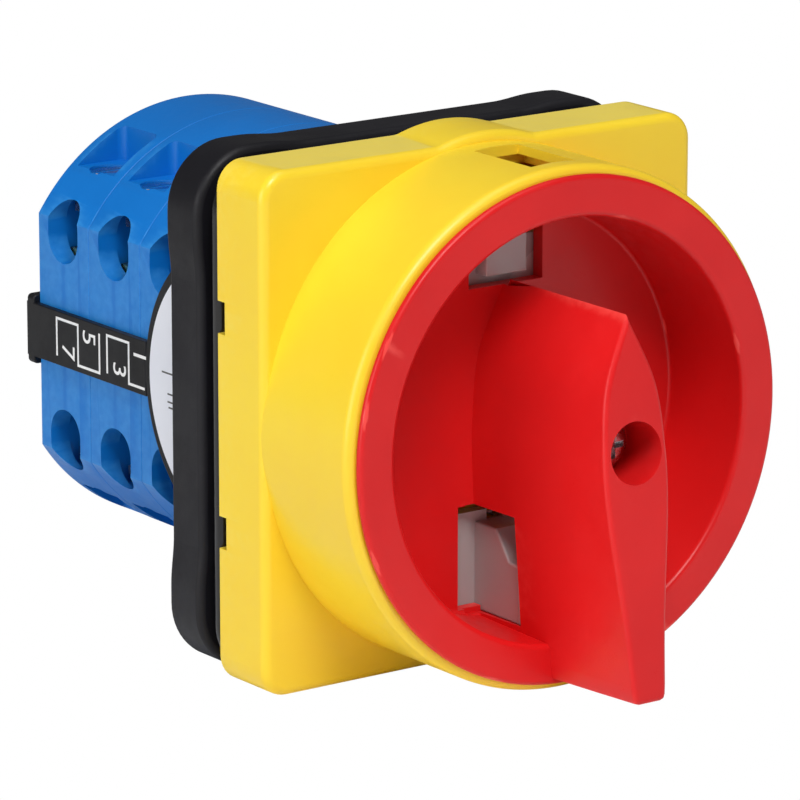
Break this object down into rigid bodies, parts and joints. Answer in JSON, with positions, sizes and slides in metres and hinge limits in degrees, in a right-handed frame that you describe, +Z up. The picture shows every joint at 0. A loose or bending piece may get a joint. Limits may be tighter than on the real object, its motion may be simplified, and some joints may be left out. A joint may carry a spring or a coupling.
{
  "type": "rotary isolator switch",
  "caption": "Panel-mounted rotary isolator: square yellow cover, red cup handle with a padlockable lever, and a round blue contact drum behind the panel.",
  "frame": {"origin": "on the shaft axis, in the plane of the mounting plate's rear face, which rests on the panel", "axes": "-Y from the panel towards the user, +Z up with the lever vertical, +X to the user's right"},
  "size_m": [0.0646, 0.0982, 0.0662],
  "materials": {
    "yellow_plastic": "semi-gloss moulded plastic",
    "red_plastic": "semi-gloss moulded plastic",
    "black_plate": "matte moulded plastic",
    "black_gasket": "glossy black rubber",
    "grey_slider": "translucent light grey plastic",
    "blue_plastic": "satin moulded plastic",
    "black_plastic": "matte moulded plastic",
    "label_white": "printed label",
    "zinc_steel": "bright zinc plate",
    "spring_steel": "drawn wire",
    "brass_contact": "stamped and silver faced",
    "natural_plastic": "natural moulded plastic"
  },
  "bodies": {
    "housing": {"escutcheon": "yellow_plastic", "front_gasket": "black_gasket", "mounting_plate": "black_plate", "index_housing": "blue_plastic", "contact_deck_1": "blue_plastic", "contact_deck_2": "blue_plastic", "contact_deck_3": "blue_plastic", "terminal_screws": "zinc_steel", "clamp_plates": "zinc_steel", "tie_bolts": "zinc_steel", "marking_strip_left": "black_plastic", "marking_strip_right": "black_plastic", "label_holder": "black_plastic", "rating_label": "label_white", "terminal_1": "brass_contact", "terminal_2": "brass_contact", "terminal_3": "brass_contact", "terminal_4": "brass_contact", "terminal_5": "brass_contact", "terminal_6": "brass_contact", "terminal_7": "brass_contact", "terminal_8": "brass_contact", "index_spring_1": "spring_steel", "index_spring_2": "spring_steel", "index_spring_3": "spring_steel", "index_spring_4": "spring_steel", "contact_spring_1": "spring_steel", "contact_spring_2": "spring_steel", "contact_spring_3": "spring_steel", "contact_spring_4": "spring_steel"},
    "rotor": {"handle": "red_plastic", "handle_screw": "zinc_steel", "shaft": "zinc_steel", "index_wheel": "natural_plastic", "cam_2": "natural_plastic", "cam_3": "natural_plastic", "lock_spring": "spring_steel"},
    "lock": {"lock_slider": "grey_slider"},
    "plunger_1": {"index_plunger_1": "natural_plastic"},
    "plunger_2": {"index_plunger_2": "natural_plastic"},
    "plunger_3": {"index_plunger_3": "natural_plastic"},
    "plunger_4": {"index_plunger_4": "natural_plastic"},
    "contact_1": {"carrier_1": "natural_plastic", "contact_bridge_1": "brass_contact"},
    "contact_2": {"carrier_2": "natural_plastic", "contact_bridge_2": "brass_contact"},
    "contact_3": {"carrier_3": "natural_plastic", "contact_bridge_3": "brass_contact"},
    "contact_4": {"carrier_4": "natural_plastic", "contact_bridge_4": "brass_contact"}
  },
  "joints": [
    {"name": "handle_turn", "type": "hinge", "parent": "housing", "child": "rotor", "pos_m": [0, 0, 0], "axis": [0, -1, 0], "range_deg": [-90, 0]},
    {"name": "lock_slide", "type": "slide", "parent": "rotor", "child": "lock", "axis": [0, 0, 1], "range_m": [0, 0.006], "stiffness_N_per_m": 100, "springref_m": -0.002, "deforming": ["lock_spring"]},
    {"name": "plunger_1_slide", "type": "slide", "parent": "housing", "child": "plunger_1", "axis": [0.7071, 0, 0.7071], "range_m": [-0.0006, 0], "stiffness_N_per_m": 800, "springref_m": -0.003, "deforming": ["index_spring_1"]},
    {"name": "plunger_2_slide", "type": "slide", "parent": "housing", "child": "plunger_2", "axis": [-0.7071, 0, 0.7071], "range_m": [-0.0006, 0], "stiffness_N_per_m": 800, "springref_m": -0.003, "deforming": ["index_spring_2"]},
    {"name": "plunger_3_slide", "type": "slide", "parent": "housing", "child": "plunger_3", "axis": [-0.7071, 0, -0.7071], "range_m": [-0.0006, 0], "stiffness_N_per_m": 800, "springref_m": -0.003, "deforming": ["index_spring_3"]},
    {"name": "plunger_4_slide", "type": "slide", "parent": "housing", "child": "plunger_4", "axis": [0.7071, 0, -0.7071], "range_m": [-0.0006, 0], "stiffness_N_per_m": 800, "springref_m": -0.003, "deforming": ["index_spring_4"]},
    {"name": "contact_1_slide", "type": "slide", "parent": "housing", "child": "contact_1", "axis": [0, 0, 1], "range_m": [0, 0.0013], "deforming": ["contact_spring_1"]},
    {"name": "contact_2_slide", "type": "slide", "parent": "housing", "child": "contact_2", "axis": [0, 0, -1], "range_m": [0, 0.0013], "deforming": ["contact_spring_2"]},
    {"name": "contact_3_slide", "type": "slide", "parent": "housing", "child": "contact_3", "axis": [0, 0, 1], "range_m": [0, 0.0013], "deforming": ["contact_spring_3"]},
    {"name": "contact_4_slide", "type": "slide", "parent": "housing", "child": "contact_4", "axis": [0, 0, -1], "range_m": [0, 0.0013], "deforming": ["contact_spring_4"]}
  ],
  "couplings": [
    {"joint": "contact_1_slide", "follows": "handle_turn", "m_per_rad": -0.000827},
    {"joint": "contact_2_slide", "follows": "handle_turn", "m_per_rad": -0.000827},
    {"joint": "contact_3_slide", "follows": "handle_turn", "m_per_rad": -0.000827},
    {"joint": "contact_4_slide", "follows": "handle_turn", "m_per_rad": -0.000827}
  ]
}
